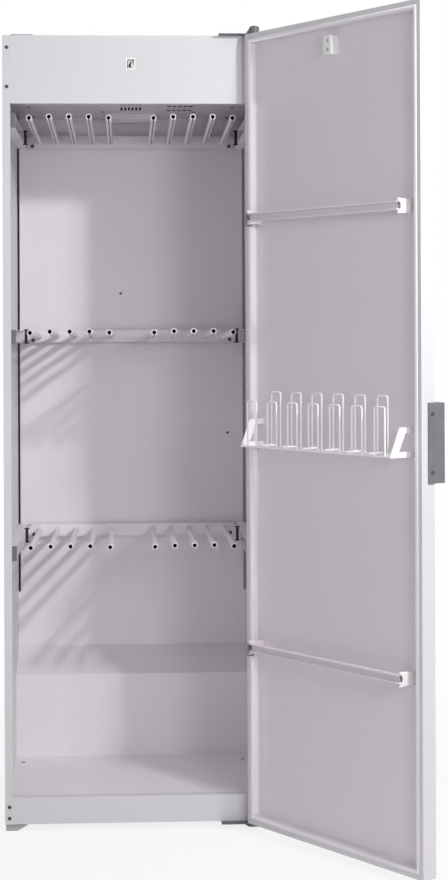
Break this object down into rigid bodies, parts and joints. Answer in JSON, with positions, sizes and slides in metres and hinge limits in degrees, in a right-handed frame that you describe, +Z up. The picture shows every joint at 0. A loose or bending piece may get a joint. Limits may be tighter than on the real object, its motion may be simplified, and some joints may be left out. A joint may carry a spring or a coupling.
{
  "type": "drying cabinet",
  "caption": "Tall white drying cabinet for clothes, with an open door, pull-out peg racks and a glove holder inside the door.",
  "frame": {"origin": "on the floor, under the middle of the body's front edge", "axes": "+Z up; +Y from the front to the rear; +X to the right of someone who faces the cabinet"},
  "size_m": [0.9478, 1.0982, 1.889],
  "materials": {
    "painted_steel": "satin",
    "inner_steel": "satin",
    "zinc": "plated",
    "black_plastic": "matte",
    "grey_plastic": "satin",
    "white_plastic": "satin",
    "motor": "satin",
    "element": "oxidised"
  },
  "bodies": {
    "cabinet": {"side_left": "painted_steel", "side_right": "painted_steel", "rear_panel": "inner_steel", "top_panel": "painted_steel", "base_panel": "inner_steel", "fascia": "painted_steel", "sill": "painted_steel", "floor_pan": "inner_steel", "ceiling_panel": "inner_steel", "inner_back_panel": "inner_steel", "rear_duct": "inner_steel", "air_deflector": "inner_steel", "feet": "white_plastic", "body_screws": "zinc", "rails": "inner_steel", "rail_stops": "grey_plastic", "hinge_plate_top": "zinc", "hinge_plate_bottom": "zinc", "hinge_blank": "zinc", "hinge_bush_top": "white_plastic", "hinge_pin_bottom": "zinc", "door_switch": "white_plastic", "fan_housing": "zinc", "fan_motor": "motor", "heater_housing": "zinc", "heating_element": "element", "power_box": "black_plastic", "cable_gland": "black_plastic", "exhaust_collar": "zinc"},
    "door": {"hinge_bush_bottom": "white_plastic", "hinge_pin_top": "zinc", "door_skin": "painted_steel", "door_liner": "inner_steel", "door_bars": "inner_steel", "bar_brackets_far": "white_plastic", "bar_brackets_near": "grey_plastic", "glove_tall_loops": "inner_steel", "glove_low_loops": "inner_steel", "glove_frame": "inner_steel", "door_catch": "white_plastic", "handle": "grey_plastic", "handle_screws": "zinc", "control_bezel": "black_plastic"},
    "rack_upper": {"rack_bar_upper": "inner_steel", "rack_pegs_upper": "inner_steel", "rack_arms_upper": "zinc", "rack_glides_upper": "black_plastic"},
    "rack_middle": {"rack_bar_middle": "inner_steel", "rack_pegs_middle": "inner_steel", "rack_arms_middle": "zinc", "rack_glides_middle": "black_plastic"},
    "rack_lower": {"rack_bar_lower": "inner_steel", "rack_pegs_lower": "inner_steel", "rack_arms_lower": "zinc", "rack_glides_lower": "black_plastic"},
    "knob": {"timer_knob": "grey_plastic"},
    "start_button": {"button_start": "white_plastic"},
    "stop_button": {"button_stop": "white_plastic"},
    "plunger": {"switch_plunger": "black_plastic"},
    "fan": {"impeller": "grey_plastic"}
  },
  "joints": [
    {"name": "door_hinge", "type": "hinge", "parent": "cabinet", "child": "door", "pos_m": [0.286, -0.023, 0.017], "axis": [0, 0, 1], "range_deg": [-124, 56]},
    {"name": "rack_upper_slide", "type": "slide", "parent": "cabinet", "child": "rack_upper", "axis": [0, -1, 0], "range_m": [0, 0.35]},
    {"name": "rack_middle_slide", "type": "slide", "parent": "cabinet", "child": "rack_middle", "axis": [0, -1, 0], "range_m": [0, 0.35]},
    {"name": "rack_lower_slide", "type": "slide", "parent": "cabinet", "child": "rack_lower", "axis": [0, -1, 0], "range_m": [0, 0.35]},
    {"name": "timer_turn", "type": "hinge", "parent": "door", "child": "knob", "pos_m": [0.46168, -0.24948, 1.7654], "axis": [0.829, 0.5592, 0], "range_deg": [-150, 150]},
    {"name": "start_press", "type": "slide", "parent": "door", "child": "start_button", "axis": [-0.829, -0.5592, 0], "range_m": [0, 0.002], "stiffness_N_per_m": 300},
    {"name": "stop_press", "type": "slide", "parent": "door", "child": "stop_button", "axis": [-0.829, -0.5592, 0], "range_m": [0, 0.002], "stiffness_N_per_m": 300},
    {"name": "switch_press", "type": "slide", "parent": "cabinet", "child": "plunger", "axis": [0, 1, 0], "range_m": [0, 0.005], "stiffness_N_per_m": 200},
    {"name": "fan_spin", "type": "hinge", "parent": "cabinet", "child": "fan", "pos_m": [0, 0.278, 1.75], "axis": [0, 0, 1], "continuous": true}
  ]
}
